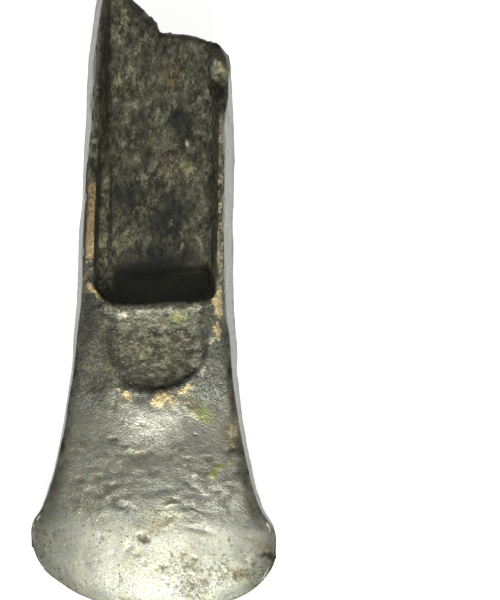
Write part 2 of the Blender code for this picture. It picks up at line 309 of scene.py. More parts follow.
def across(row_s, column, width, rise, floor_edge, inner_edge):
    """X, unsigned, of each column of a face, by its zone."""
    corner = width - rise
    inner_edge = np.minimum(inner_edge, corner - LEAST_FLANGE)
    in_floor = np.clip(column / FLOOR_COLUMNS, 0, 1)
    in_wall = 1 - (1 - np.clip((column - FLOOR_COLUMNS) / WALL_COLUMNS, 0, 1)) ** 1.7
    in_top = np.clip((column - FLOOR_COLUMNS - WALL_COLUMNS) / TOP_COLUMNS, 0, 1)
    by_zone = floor_edge * in_floor + (inner_edge - floor_edge) * in_wall + (corner - inner_edge) * in_top
    even = corner * np.clip(column / FACE_COLUMNS, 0, 1)
    x = by_zone + (even - by_zone) * ramp(row_s, STOP_S, WARP_START_S)
    out = np.clip((column - FACE_COLUMNS) / SIDE_COLUMNS, 0, 1)
    return x + rise * out, corner, inner_edge, in_wall, out


def shield_reach(x, s):
    """0 at the middle of the shield panel's top, 1 on its outline and more beyond."""
    down = np.clip((SHIELD_TURN_S - s) / (SHIELD_TURN_S - SHIELD_END_S), 0.0, 2.0)
    shifted = x - SHIELD_MIDDLE_X - SHIELD_LEAN * ramp(down, 0.55, 1.0)
    reach = (np.abs(shifted) / SHIELD_HALF_WIDTH) ** SHIELD_POWER + down**SHIELD_POWER
    return reach ** (1 / SHIELD_POWER)


def shield_inside(x, s, reach):
    """1 within the shield panel and 0 outside, with a rim that softens up the sides, more so on the left."""
    rim = 0.14 + np.where(x < 0, 0.14 * ramp(s, 58.0, 66.0), 0.14 * ramp(s, 64.0, 72.0))
    return ramp(reach, 1.0, 1.0 - rim)


def top_height(x, s, corner, side):
    """Half thickness of the casting before its hollows are taken out."""
    start = curve(CROWN_STARTS, s)
    out = np.clip((np.abs(x) - start) / np.maximum(corner - start, 0.5), 0.0, 1.0)
    power = 2.2 - 0.6 * ramp(s, 50.0, 64.0)
    middle = curve(HALF_THICKNESS, s)
    if side > 0:
        middle = middle - 0.5 * bell(s, 61.5, 5.5)
    eased = 0.45 * ramp(np.abs(x) / corner, 0.88, 1.0) ** 2 * ramp(s, 84.0, 74.0) * ramp(s, 12.0, 26.0)
    return middle - curve(CROWN, s) * out**power - eased


def shield_floor(s):
    """Half thickness at the shield panel's floor."""
    fall = (SHIELD_FLOOR_AT_STOP - SHIELD_FLOOR_AT_END) / (STOP_S - SHIELD_END_S)
    return SHIELD_FLOOR_AT_STOP + fall * (s - STOP_S)


def face_grid(columns, side):
    """One face and its half of both sides: X, S, Z and what each point is part of."""
    row_s, bend = rows_along()
    column = np.abs(columns)[None, :]
    sign = np.where(columns < 0, -1.0, 1.0)[None, :]
    corner_x = np.where(sign > 0, EDGE_RIGHT_X, EDGE_LEFT_X)
    share = np.clip(column / FACE_COLUMNS, 0.0, 1.0)
    ruined = (sign > 0) & (side > 0)
    with_shelf = (sign < 0) & (side > 0)
    left_turned = seat_corner(row_s, LEFT_CORNER_RADIUS)
    turned_in = np.where(with_shelf, left_turned, seat_corner(row_s, RIGHT_CORNER_RADIUS))
    flare = np.abs(corner_x) / curve(HALF_WIDTH, edge_s(corner_x))
    x = sign * column / HALF_COLUMNS * FIRST_HALF_WIDTH + 0 * row_s
    for _ in range(3):  # X depends on S and S on X, so both are found by turns
        s = bent_s(row_s, bend, x, share, corner_x)
        side_s = np.where(bend > 0, row_s + bend * edge_s(corner_x), s)
        extra = np.where(sign > 0, curve(RIGHT_EXTRA, side_s), curve(LEFT_EXTRA, side_s))
        width = curve(HALF_WIDTH, side_s) * (1 + bend * (flare - 1)) + extra * (1 - bend**6)
        depth_s = np.where(bend > 0, row_s + 0 * s, s)
        rise_share = np.where(sign > 0, RIGHT_RISE_SHARE, curve(LEFT_RISE_SHARE, depth_s))
        rise = curve(SEAM_RISE, depth_s) * rise_share
        rise = rise * np.where(ruined, 1 - RUINED_SEAM_LOSS * ramp(s, 121.0, 131.0), 1.0)
        floor_edge = np.where(with_shelf, curve(LEFT_FLOOR_EDGE, s), curve(SEAT_FLOOR_EDGE, s))
        inner_edge = np.where(with_shelf, curve(LEFT_INNER_EDGE, s), curve(FLANGE_INNER_EDGE, s))
        weakened = ruined * ramp(s, 124.0, 132.0)  # the seat is narrower there
        floor_edge = floor_edge - 0.9 * weakened - turned_in
        inner_edge = inner_edge - 0.8 * weakened - 0.72 * turned_in
        spread, corner, inner_edge, in_wall, out = across(row_s, column, width, rise, floor_edge, inner_edge)
        x = sign * spread
    top = top_height(np.minimum(np.abs(x), corner), depth_s, corner, side)
    top = np.where(ruined, np.minimum(top, curve(RUINED_FLANGE, s)), top)
    # the flanges' tops are rounded at both edges, and lower at the outer one
    rounded = (2 * (np.abs(x) - inner_edge) / (corner - inner_edge) - 1) ** 4
    rounded = np.where(np.abs(x) > inner_edge, np.minimum(rounded, 1.0), 0.0)
    top = top - FLANGE_ROUNDING * rounded * ramp(s, 70.0, 84.0)
    shoulder = ramp(np.abs(x), corner - SHOULDER_WIDTH, corner) * np.where(with_shelf, 1.0, 0.4)
    top = top - SHOULDER_DROP * shoulder * ramp(s, 76.0, 86.0)

    # the haft seat, above the stop
    shelf = curve(SHELF_PROFILE, in_wall)
    shelf = shelf + (curve(UPPER_PROFILE, in_wall) - shelf) * ramp(s, *SHELF_END_S)
    wall = np.where(with_shelf, shelf, curve(WALL_PROFILE, in_wall))
    to_break = polyline(BREAK_LINE, x) - s
    worn = ramp(to_break, break_bevel(x), 0.0) * (row_s > STOP_S)
    floor = SEPTUM_HALF - BREAK_THINNING * worn
    seat = floor + (top - floor) * wall

    # the shield panel below it, and the rounded edge of the lip
    reach = shield_reach(x, s)
    inside = shield_inside(x, s, reach)
    panel = top + (shield_floor(s) + (BACK_SHIELD_RISE if side < 0 else 0.0) - top) * inside
    past_lip = np.clip((STOP_S - LEDGE_RAMP / 2 - row_s) / LIP_ROUNDING_LENGTH, 0.0, 1.0)
    panel = panel - LIP_ROUNDING * (1 - past_lip) ** 2 * (in_wall < 1)
    below_stop = np.clip((STOP_S + LEDGE_RAMP / 2 - row_s) / LEDGE_RAMP, 0.0, 1.0)
    height = seat + (panel - seat) * below_stop

    # the blunt corners of the edge, and the side with the seam along it
    to_corner = ramp(share, CORNER_BLUNT_FROM, 1.0)
    height = np.maximum(height, CORNER_HALF_THICKNESS * to_corner * bend**4)
    z = side * height * (1 - out)
    z = z + np.where(sign > 0, curve(SEAM_Z, s), 0.0) * ramp(out, 0.0, 1.0)
    grids = {
        "x": x, "s": s, "z": z, "bend": bend, "share": share, "out": out, "wall": in_wall,
        "below_stop": below_stop, "shield": inside * below_stop, "reach": reach, "face": float(side),
    }
    return {key: grid + 0 * s for key, grid in grids.items()}


def break_rows(front, back):
    """The broken end, in rows from the front face to the back face."""
    steps = np.linspace(0, 1, BREAK_ROWS + 2)[1:-1, None]
    rows = {}
    for key in front:
        rows[key] = front[key][0] + (back[key][0] - front[key][0]) * steps
    bulge = 1 - (2 * steps - 1) ** 2
    thick = np.clip(np.abs(front["z"][0] - back["z"][0]) / 4, 0, 1)
    rows["s"] = rows["s"] + 0.5 * BREAK_BEVEL * bulge * thick
    rows["x"] = np.repeat(front["x"][:1], BREAK_ROWS, axis=0)
    rows["face"] = np.zeros(rows["s"].shape)
    return rows


def strip(first, second):
    """Triangles between two rows of point numbers of the same length."""
    one = np.stack([first[:-1], second[:-1], second[1:]], axis=-1)
    two = np.stack([first[:-1], second[1:], first[1:]], axis=-1)
    return np.concatenate([one, two])


def stitch(fine, coarse, kept):
    """Triangles between a fine row and a coarser one that keeps only some of its columns."""
    made = []
    for index in range(len(kept) - 1):
        low, high = kept[index], kept[index + 1]
        made.append((fine[low], coarse[index], coarse[index + 1]))
        for step in range(low, high):
            made.append((fine[step], coarse[index + 1], fine[step + 1]))
    return np.array(made)


def all_columns():
    """Signed column numbers of the front, and the places in that list of those the back keeps."""
    columns = np.arange(-HALF_COLUMNS, HALF_COLUMNS + 1)
    on_side = np.abs(columns) >= FACE_COLUMNS
    kept = np.flatnonzero(on_side | (columns % 2 == 0))
    return columns, kept


def casting_mesh():
    """Every point of the casting as named arrays, and the triangles between them."""
    columns, kept = all_columns()
    front = face_grid(columns, 1)
    back_full = face_grid(columns, -1)
    broken = break_rows(front, back_full)
    back = {key: grid[:, kept] for key, grid in back_full.items()}
    edge = {key: grid[-1:, :] * 1.0 for key, grid in front.items()}
    edge["z"] = edge["z"] * 0.0
    edge["s"] = edge["s"] - 0.15
    edge["face"] = edge["face"] * 0.0

    rows, wide = front["x"].shape
    front_ids = np.arange(rows * wide).reshape(rows, wide)
    points = {key: [grid.ravel()] for key, grid in front.items()}
    count = rows * wide

    def add_inner(grids, ends_left, ends_right):
        """Number a block whose first and last columns are points that exist already."""
        nonlocal count
        inner = grids["x"][:, 1:-1]
        ids = count + np.arange(inner.size).reshape(inner.shape)
        count += inner.size
        for key, grid in grids.items():
            points[key].append(grid[:, 1:-1].ravel())
        return np.concatenate([ends_left[:, None], ids, ends_right[:, None]], axis=1)

    back_ids = add_inner(back, front_ids[:, 0], front_ids[:, -1])
    left_end = np.full(BREAK_ROWS, front_ids[0, 0])
    right_end = np.full(BREAK_ROWS, front_ids[0, -1])
    broken_ids = add_inner(broken, left_end, right_end)
    edge_ids = add_inner(edge, front_ids[-1:, 0], front_ids[-1:, -1])

    faces = [strip(front_ids[row], front_ids[row + 1]) for row in range(rows - 1)]
    faces += [strip(back_ids[row + 1], back_ids[row]) for row in range(rows - 1)]
    ladder = [front_ids[0], *broken_ids]
    faces += [strip(after, before) for before, after in zip(ladder, ladder[1:])]
    faces.append(stitch(broken_ids[-1], back_ids[0], kept)[:, ::-1])
    faces.append(strip(front_ids[-1], edge_ids[0]))
    faces.append(stitch(edge_ids[0], back_ids[-1], kept))
    faces = np.concatenate(faces)
    whole = (faces[:, 0] != faces[:, 1]) & (faces[:, 1] != faces[:, 2]) & (faces[:, 0] != faces[:, 2])
    return {key: np.concatenate(parts) for key, parts in points.items()}, faces[whole]


def normals_of(places, faces):
    """Smooth outward normal at each point."""
    a, b, c = (places[faces[:, corner]] for corner in range(3))
    flat = np.cross(b - a, c - a)
    normals = np.zeros(places.shape)
    for corner in range(3):
        np.add.at(normals, faces[:, corner], flat)
    return normals / np.maximum(np.linalg.norm(normals, axis=1, keepdims=True), 1e-9)


# ---------------------------------------------------------------- marks on the surface

# Marks by tint. Each is its place across, S, half width, half length and the tint's amount, and, when
# it is turned or raised, also its turn in degrees and its relief in mm. Across is X on the front face
# and Z on the right-hand side. They run from the cutting edge up.
FRONT_MARKS = {
    "dark": (  # dark patina and the bottoms of pits; the marks at (29.8, 14.9), (11.4, 26.6) and (15, 130.4) are painted shade in a dent, a crease and a hollow
        (10.6, 6.4, 6, 5, 0.56), (18.4, 9.8, 3.4, 5.4, 0.38), (0.4, 10, 0.35, 2.4, 0.35, 35, -0.08),
        (22.3, 10, 3.2, 1.9, 0.62, 20, -0.04), (8.6, 11.2, 5.8, 4.8, 0.42),
        (3.6, 11.8, 1.2, 0.9, 0.8, 10, -0.08), (26, 12, 6, 6, 0.28),
        (-12.9, 13.3, 0.7, 0.6, 0.4, 0, -0.14), (11.1, 14.2, 0.7, 0.7, 0.45, 0, -0.16),
        (29.8, 14.9, 2.2, 0.7, 1, -24, -0.2), (7.9, 15.2, 0.6, 0.6, 0.35, 0, -0.12),
        (-5.4, 16.6, 1, 1.5, 0.35, 0, -0.1), (-28, 17, 6, 9, 0.25), (28.4, 17, 3.2, 1.6, 0.1, -20, 0),
        (-1.7, 18.8, 2.1, 1.2, 0.8, -18, -0.09), (-4.4, 19, 2.2, 1, 0.3, 30, 0),
        (-12.3, 19.3, 0.7, 0.6, 0.3, 0, -0.12), (1.6, 21.4, 5.5, 1.8, 0.12, 6, 0),
        (11.5, 21.5, 5, 0.9, 0.2, -8, -0.08), (10.4, 24.2, 3.6, 1.7, 0.32),
        (15.5, 24.6, 5.4, 2, 0.2, -6, 0), (11.4, 26.6, 4.4, 0.7, 0.5, -14, -0.09),
        (-7.6, 26.8, 3, 0.8, 0.35, -8, -0.12), (12.2, 28, 4.8, 2.3, 0.52, -8, 0),
        (6.6, 28.9, 2, 0.7, 0.6, -12, -0.12), (-12.6, 29.8, 1.8, 0.9, 0.2, 15, -0.15),
        (-4, 30.8, 2.8, 3, 0.22), (1.5, 31, 4.2, 1, 0.1, 5, -0.12),
        (16, 31.2, 3.2, 1.2, 0.1, -8, -0.12), (12.6, 32, 2.8, 2, 0.26),
        (9.2, 33.2, 2.4, 1, 0.3, -30, -0.14), (-7.4, 35.6, 2.8, 1, 0.15, 0, -0.1),
        (20.2, 41.6, 2.1, 0.9, 0.8, 20, -0.2), (4.2, 43.4, 2.6, 2, 0.2), (15.8, 52.4, 2.4, 2.8, 0.3),
        (-13.4, 56, 4.8, 5.4, 0.9), (-7.6, 91.2, 0.8, 0.6, 0.9, 0, -0.1),
        (-7.7, 93.3, 0.8, 0.6, 0.9, 0, -0.1), (-12, 98.4, 0.8, 2.6, 0.7),
        (15.4, 99.5, 1.6, 0.8, 1, 0, -0.45), (-15.6, 113, 1.8, 6.5, 0.4),
        (16.4, 126, 0.8, 4, 0.6, 12, -0.35), (15, 130.4, 2.6, 3.6, 0.95), (14.3, 140.8, 3.4, 1.9, 0.85),
    ),
    "olive": (  # olive patina
        (22.4, 10.4, 3, 2.2, 1, -20, 0), (11.4, 12.2, 0.8, 1.6, 0.7, 0, -0.1),
        (-3.4, 15.2, 1.4, 1.2, 0.7, 0, -0.08), (28, 17.4, 3.4, 2, 1, -20, 0),
        (-2, 19, 2, 1.2, 0.85, -20, 0), (-2.8, 21.9, 1, 1.6, 0.6, 0, 0.1), (1, 22, 6.5, 2.4, 0.7, 6, 0),
        (4.7, 23.1, 2.4, 1.2, 0.9, 30, 0.1), (-17.7, 26.8, 1.1, 2.4, 1, -20, 0.15),
        (4.6, 27.4, 1.6, 0.8, 0.9, 0, 0.1), (-15.5, 30.6, 2.6, 0.9, 0.5, 5, -0.13),
        (-9.6, 32.2, 2, 1.2, 0.8, 10, -0.15), (-17.6, 33.6, 1.8, 1.3, 0.8, 10, -0.12),
        (-12.9, 34.6, 2.2, 1.4, 0.95, -12, -0.14), (19.2, 39, 0.7, 1.8, 0.8, -40, 0.1),
        (-3.4, 40.2, 3.4, 1.5, 0.9, 14, -0.15), (20.2, 46, 2.6, 4.6, 1, -4, 0),
        (-11.6, 52, 1.8, 5, 0.6), (10, 52.2, 4.6, 2.6, 0.85, -40, 0.06), (-8, 54, 1.6, 3, 0.5),
        (-15.8, 61.5, 1.4, 4.5, 0.55), (6, 61.5, 3, 2, 0.6, 0, 0.06), (0.5, 65.5, 9.5, 6.5, 0.62),
        (3.6, 73.2, 6, 1, 0.6), (-17.2, 84.2, 0.6, 1.4, 0.8, 0, 0.1), (-7.8, 93, 2.6, 4.2, 0.36),
        (10.4, 94.8, 2.2, 5, 0.55), (-1.9, 106.6, 2, 3.4, 0.62), (2.6, 110.8, 2.6, 3.4, 0.65),
        (7.4, 111.4, 2.2, 1.6, 0.8), (-7.4, 113.5, 2.4, 4, 0.6), (1.4, 118.5, 1.3, 5.5, 0.55, -8, 0),
        (2, 120, 6.5, 4.5, 0.3), (-16.1, 121.5, 0.7, 2.6, 0.45), (-8, 124, 1.6, 4, 0.45),
        (-5.2, 127.5, 2.2, 2.6, 0.5), (9.8, 128.5, 2, 3.2, 0.4), (-9.6, 131.5, 2.6, 3.2, 0.85),
        (14.8, 135.8, 2.1, 2.2, 1, 0, 0.3), (-8, 139.5, 3.2, 4, 0.6), (-8.5, 150, 2.6, 7, 0.35, 10, 0),
    ),
    "pale": (  # pale crust; the streaks on the lip from S 73.6 to 76.4 are painted highlight, and the mark at (-16.4, 87.2) is a painted glint
        (6.8, 25.6, 4.6, 0.9, 0.2, 0, 0.12), (-7.2, 28.4, 3.4, 0.9, 0.25, -6, 0.13),
        (9.5, 28.8, 2.6, 0.8, 0.12, -12, 0.07), (10.6, 35.4, 1.7, 0.9, 0.55, -30, 0.1),
        (-3, 40.4, 2.2, 0.9, 0.35, 14, 0), (-4.8, 43.8, 3, 2, 0.34), (20, 46.6, 2, 3.6, 0.52, -4, 0),
        (-4.6, 51.2, 2.6, 1.6, 0.42, -10, 0), (1.6, 52.6, 3.2, 2.2, 0.35, 22, 0),
        (-4.4, 55.4, 3, 1.2, 0.44, -20, 0), (-8.8, 59.4, 1.5, 2.6, 0.42, 12, 0),
        (-15.5, 62, 0.9, 4, 0.16, 0, 0.06), (-3, 62.5, 1.2, 2.6, 0.25, 0, 0.08),
        (11.5, 63.4, 1.7, 5, 0.5, 10, 0), (13.8, 68, 0.8, 0.6, 1, 0, 0.1),
        (14.2, 68.6, 1.2, 0.8, 0.9, 30, 0.08), (3, 70, 9, 2.6, 0.16), (-8.5, 73.6, 3, 1.4, 0.3),
        (-9.6, 73.9, 1.8, 0.4, 0.9, 0, 0.06), (-8.4, 74.8, 3.6, 0.5, 1, -3, 0.12),
        (-4.6, 75.3, 3, 0.45, 0.8, 6, 0.1), (2.5, 76.4, 5.2, 0.8, 0.45, 5, 0.05),
        (10.4, 77, 1.3, 0.7, 1, 0, 0.1), (-16, 85.6, 1.3, 0.4, 0.6, 10, 0.08),
        (-16.4, 87.2, 1, 0.6, 0.75, 15, 0.1), (6.6, 91.9, 0.8, 1.1, 0.4, 0, 0.1),
        (3.7, 97.3, 0.7, 0.9, 0.35, 0, 0.1), (-15.9, 117.2, 0.9, 0.9, 0.6, 0, 0.05),
        (6.8, 117.2, 0.65, 0.65, 0.75, 0, 0.1), (15.5, 117.9, 0.8, 0.8, 0.45, 0, 0.08),
        (3, 134.9, 0.6, 0.6, 0.35, 0, 0.05), (3.4, 137.1, 0.6, 0.6, 0.45, 0, 0.05),
        (14, 137.5, 1.7, 1, 0.6, -20, 0.15),
    ),
    "worn": (  # paler skin, where the metal is rubbed; on the blade it is partly painted highlight, where the sheen is brightest
        (18, 12, 5, 4, 0.2), (-4, 12.5, 13, 9, 0.18), (-11.8, 15, 5.4, 7.4, 0.48),
        (26.5, 18.5, 4.5, 5.5, 0.65), (2, 18.6, 14, 3.6, 0.5), (-13, 19, 9, 3, 0.46, -6, 0),
        (20, 19.5, 7, 4.5, 0.5), (3, 20, 16, 2.4, 0.2), (4.2, 27.4, 3.6, 1.9, 0.7),
        (17, 31.5, 7.5, 4.2, 0.95), (-11, 37.4, 5.4, 2.4, 0.56), (0.2, 37.4, 4, 2.2, 0.72),
        (2, 38, 16, 5, 0.44), (19.2, 38.2, 3.6, 3.6, 0.6), (16.5, 38.6, 3.4, 2.6, 0.7),
        (-1, 46, 19, 9, 0.36), (14, 46, 6, 6.5, 0.52), (-1, 46.4, 12, 7.6, 0.92),
        (13.9, 49.2, 1.8, 1.6, 1, -20, 0),
    ),
    "earth": (  # brown, on and round the bare metal
        (22.6, 10.2, 3.2, 2, 0.42, -20, 0), (3.4, 12, 1.2, 0.9, 0.5, 10, 0),
        (9.4, 13.4, 3.4, 6, 0.42, 10, 0), (28.4, 17.2, 2.6, 1.5, 0.45, -20, 0),
        (-2.2, 19.2, 1.5, 0.8, 0.55, -15, 0), (1.8, 22.6, 6, 2.2, 0.36, 6, 0),
        (4.4, 27.6, 2.6, 0.8, 0.8, 12, 0.08), (-23.6, 31.4, 0.9, 1.7, 0.7, 0, 0.1),
        (-2.8, 40.9, 1.2, 1, 0.6, 0, 0.08), (20, 45.4, 2.4, 4.6, 1, -4, 0.12),
        (-9.4, 51.6, 0.9, 3.4, 0.8, 0, -0.06), (10.2, 52.4, 3.6, 2, 0.55, -40, 0),
        (-7.6, 54.4, 3, 1.8, 0.4, -40, 0), (-11.2, 61.5, 1, 3.6, 0.6, 0, 0.06),
        (2.6, 111.5, 3.4, 4, 0.42), (2.5, 134.6, 2.6, 3.8, 0.6),
    ),
    "smooth": (  # glossier skin in the seat
        (1.5, 90.5, 8.5, 4.2, 1.1), (-1.8, 96, 2.4, 2.8, 0.8), (3.2, 98, 5.8, 8.6, 1.3, 0, -0.05),
        (-7.6, 104.6, 4.8, 5.6, 1.2, 20, -0.05), (-2.4, 114, 1.5, 4.2, 0.8, 6, -0.05),
        (-11, 116.5, 1.2, 6.5, 0.8), (-4, 122, 1.6, 4.2, 0.6, 6, -0.05),
        (5.6, 122.6, 3.2, 6.2, 1.25, 0, -0.05), (0.4, 131.6, 4.4, 2.4, 0.35),
        (9.9, 139.6, 2.2, 2.6, 0.5), (0.4, 142, 3.4, 2.2, 0.5), (-4.4, 146, 2.6, 2.6, 0.8, 30, 0),
    ),
    "gold": (  # bare metal on the flanges, the ribs and the shield's rim
        (20, 46.8, 1.5, 3.2, 0.42, -4, 0.06), (2.1, 53.7, 3.4, 2.5, 1, 22, 0.12),
        (-6.9, 54.8, 3.4, 1.4, 0.54, -40, 0.08), (7.6, 56.1, 3, 1, 0.75, 28, 0.08),
        (-9.8, 57.2, 1.6, 0.8, 0.38, -40, 0.06), (15.6, 70.8, 1.2, 2.9, 1, 8, 0.1),
        (-13.4, 76.2, 0.6, 1.6, 0.35, 20, 0), (15.9, 76.8, 1.25, 3.8, 1, 0, 0.15),
        (-14.9, 80.2, 0.65, 2.9, 0.75, 36, 0.1), (15.6, 101.9, 0.8, 1.6, 0.45, 0, 0.08),
    ),
    "green": (  # green patina
        (15.3, 35, 1.3, 1.9, 1, -20, 0.12), (16.6, 37.2, 1.1, 2, 1, -60, 0.12),
        (19.4, 38.2, 0.8, 1.4, 0.7, -50, 0.1), (-13.4, 47, 0.8, 1.6, 0.35),
        (13.2, 49.6, 3, 2.4, 1, -20, 0.06), (5.9, 74.2, 3, 1.9, 0.75, 0, 0.1),
        (-7.6, 92.2, 1.6, 3.4, 0.22, 0, 0.05), (9.6, 92.6, 0.9, 2.2, 0.2, -25, 0.08),
        (7.2, 111.6, 2.2, 1.8, 0.35, 0, 0.05), (15.4, 135.2, 1.3, 0.8, 0.4, -20, 0.1),
    ),
    "dull": (  # shape alone: swellings, hollows and dents that take no tint
        (-0.5, 41.4, 9.5, 5.2, 0, 0, -0.28), (-0.8, 50.4, 10, 5.6, 0, 0, 0.42),
    ),
}
SIDE_MARKS = {
    "green": (
        (-1, 33.4, 2.2, 1.8, 1, 0, 0.15), (-1.9, 37, 2, 4.4, 0.9, -12, 0.15),
        (-9.2, 89, 1, 1.4, 0.9, 0, 0.1), (4.2, 94, 1.8, 2.4, 1, 25, 0.15),
        (-8.7, 99.5, 1.1, 1.6, 1, 0, 0.1), (7.5, 116.2, 1.5, 1.5, 1, 0, 0.1),
        (1, 146, 1.2, 2.8, 1, -10, 0.12),
    ),
    "pale": (
        (-1.4, 34.4, 1.2, 2, 0.4), (4.2, 94, 1, 1.4, 0.5, 25, 0), (-8.7, 99.5, 0.6, 0.9, 0.5),
        (7.5, 116.2, 0.9, 0.8, 0.5), (6.8, 144, 1.6, 4, 0.35, 0, 0.1),
    ),
    "earth": (
        (0.2, 17.5, 2.8, 4.6, 1, 0, -0.15), (-4.6, 113.5, 2, 1.8, 0.8, 0, 0.15),
        (-0.5, 120, 3, 5, 0.55, 0, 0.12),
    ),
    "olive": (
        (6, 62, 1.4, 4, 0.6, 0, 0.1), (1.2, 69, 1, 2.4, 0.9, 15, 0.1),
    ),
    "dark": (
        (-0.4, 15.8, 1.2, 1.8, 0.9, 0, -0.3),
    ),
    "gold": (
        (1.4, 20, 1.2, 1.6, 0.5, 0, 0.1),
    ),
}
TINTS = (
    "gold", "bare", "green", "olive", "earth", "pale", "worn", "dark", "smooth", "dull", "coarse",
    "polish_and_shade", "side",
)


class Skin:
    """Every point of the surface: the part it is on, the noises there, and its relief and tints so far."""

    def __init__(self, points):
        for name, values in points.items():
            setattr(self, name, values)
        self.places = np.stack([self.x, self.s, self.z], axis=1)
        self.left, self.right = self.x < 0, self.x > 0
        self.haft = 1 - self.below_stop
        self.front = (self.face > 0) * (self.out < 0.5)
        on_face = (self.out == 0) * (self.face != 0)
        self.seat_floor = self.haft * (self.wall < 0.02) * on_face
        self.on_wall = self.haft * (self.wall >= 0.02) * (self.wall <= 0.98) * (self.face != 0)
        self.flange_top = ramp(self.s, 75, 82) * (self.wall > 0.98) * on_face
        self.side = ramp(self.out, 0, 0.12)
        self.blade = self.below_stop * (1 - self.side)
        self.ribs = self.blade * ramp(self.s, 50, 60) * (1 - self.shield)
        self.lip = self.below_stop * self.front * ramp(np.abs(self.x), 14.5, 12)
        self.broken = (self.face == 0) * (self.s > STOP_S)

        self.broad = self.noise(9, 3, 11)
        self.middle = self.noise(3.2, 3, 21)
        self.fine = self.noise(1.1, 2, 31)
        self.ragged = self.noise(1.7, 3, 41)
        self.ragged_too = self.noise(1.7, 3, 45)
        self.blotch = self.noise(3.6, 3, 49)

        self.relief = np.zeros(len(self.x))
        self.tints = {tint: np.zeros(len(self.x)) for tint in TINTS}

    def noise(self, size, octaves, seed):
        return layered_noise(self.places, size, octaves, seed)

    def paint(self, tint, amount):
        self.tints[tint] = np.maximum(self.tints[tint], amount)


def roughen(skin):
    """The general unevenness of each part."""
    x, s, broad, middle, fine = skin.x, skin.s, skin.broad, skin.middle, skin.fine
    on_bevel = skin.blade * skin.front * ramp(s, BEVEL_FROM_S, BEVEL_FULL_S)
    skin.relief += (1 - 0.65 * on_bevel) * (0.10 * broad + 0.05 * middle + 0.02 * fine)
    skin.relief += skin.seat_floor * (0.12 * middle + 0.02 * fine)
    skin.relief += skin.shield * (0.20 * middle + 0.16 * fine)
    hammered = skin.noise(2.4, 2, 67) * (0.3 + 0.7 * ramp(skin.z, 1, -3))
    skin.relief += skin.side * (0.10 * middle + 0.12 * hammered)
    skin.relief += skin.ribs * (0.08 * middle + 0.05 * fine)
    skin.relief += skin.broken * (0.22 * middle + 0.12 * fine)
    streaks = noise(np.stack([x / 2.6 + 5, s / 0.9, 0 * x], axis=-1), 91)
    swelling = bell(s, LIP_CREST_S, 1.7) * (0.25 + 0.25 * middle)
    skin.relief += skin.lip * (swelling + 0.28 * ramp(s + 0.5 * skin.ragged, LIP_FOOT_S, LIP_FULL_S))
    skin.relief += skin.lip * ramp(s, 70, 73) * 0.10 * streaks


def corrode_blade(skin):
    """Hammered and corroded ridges that run across the blade above the bevel."""
    x, s = skin.x, skin.s
    bend = 2.2 * skin.noise(4.5, 3, 51)
    waves = np.stack([(x + bend) / 3, (s + 0.8 * bend) / 1.35, 0 * x], axis=-1)
    steep = np.stack([0 * s, 0.45 * noise(waves, 61), 0 * s], axis=-1)
    ridges = noise(waves + steep, 61) + 0.5 * noise(waves * 1.9 + steep, 62)
    crumbs = layered_noise(skin.places * np.array([0.7, 1, 1.0]), 1.3, 2, 65)
    strong = 0.25 + 0.75 * ramp(skin.blotch + 0.5 * skin.broad, -0.25, 0.35)
    band = skin.blade * between(s, 22, 27, 38, 47) * strong
    skin.relief += band * (0.09 * ridges + 0.08 * crumbs)
    height = ridges + 0.6 * crumbs
    skin.paint("olive", 0.65 * band * ramp(height, 0.25, 0.9))
    # darker in the hollows between the ridges: painted shade
    skin.paint("dark", 0.45 * band * ramp(height, -0.3, -0.9))
    skin.paint("dull", 0.35 * band)


def nick_and_pit(skin):
    """Nicks along the corners between face and side, and a scatter of pits."""
    x, s = skin.x, skin.s
    corner = ramp(skin.share, 0.93, 1) * ramp(skin.out, 0.12, 0)
    along = np.stack([s / 2.3, x * 0 + np.sign(x) * 5, np.sign(skin.z) * 5], axis=-1)
    skin.relief -= corner * skin.haft * 0.45 * ramp(noise(along, 71), 0.25, 0.75)
    skin.relief -= corner * 0.10 * (1 + noise(along * 2.3, 72))
    on_blade = corner * skin.blade * ramp(s, 18, 24)
    skin.relief -= on_blade * 0.22 * ramp(noise(along * 1.9, 73), 0, 0.8)
    pits = ramp(skin.noise(1.5, 1, 81), 0.62, 0.9) * (0.35 + 0.65 * ramp(skin.broad, -0.1, 0.4))
    skin.relief -= 0.16 * pits * (1 - 0.7 * skin.seat_floor)
    skin.paint("dark", 0.5 * pits * (1 - skin.seat_floor))


def spread_marks(skin, marks, across_place, within):
    """Lays every mark's relief and tint on the points within, with uneven outlines."""
    for tint, rows in marks.items():
        for place, mark_s, wide, long, amount, *more in rows:
            turn, height = more or (0, 0)
            turn = math.radians(turn)
            dx, ds = across_place - place + 0.9 * skin.ragged, skin.s - mark_s + 0.9 * skin.ragged_too
            u = (dx * math.cos(turn) + ds * math.sin(turn)) / wide
            v = (ds * math.cos(turn) - dx * math.sin(turn)) / long
            reach = np.sqrt(u * u + v * v) * (1 + 0.7 * skin.blotch)
            lopsided = np.clip(1 - 0.4 * v, 0.4, 1.6) if height < 0 else 1.0
            skin.relief += within * height * lopsided * np.exp(-1.8 * reach**2)
            skin.paint(tint, within * amount * ramp(reach, 1.35, 0.25))


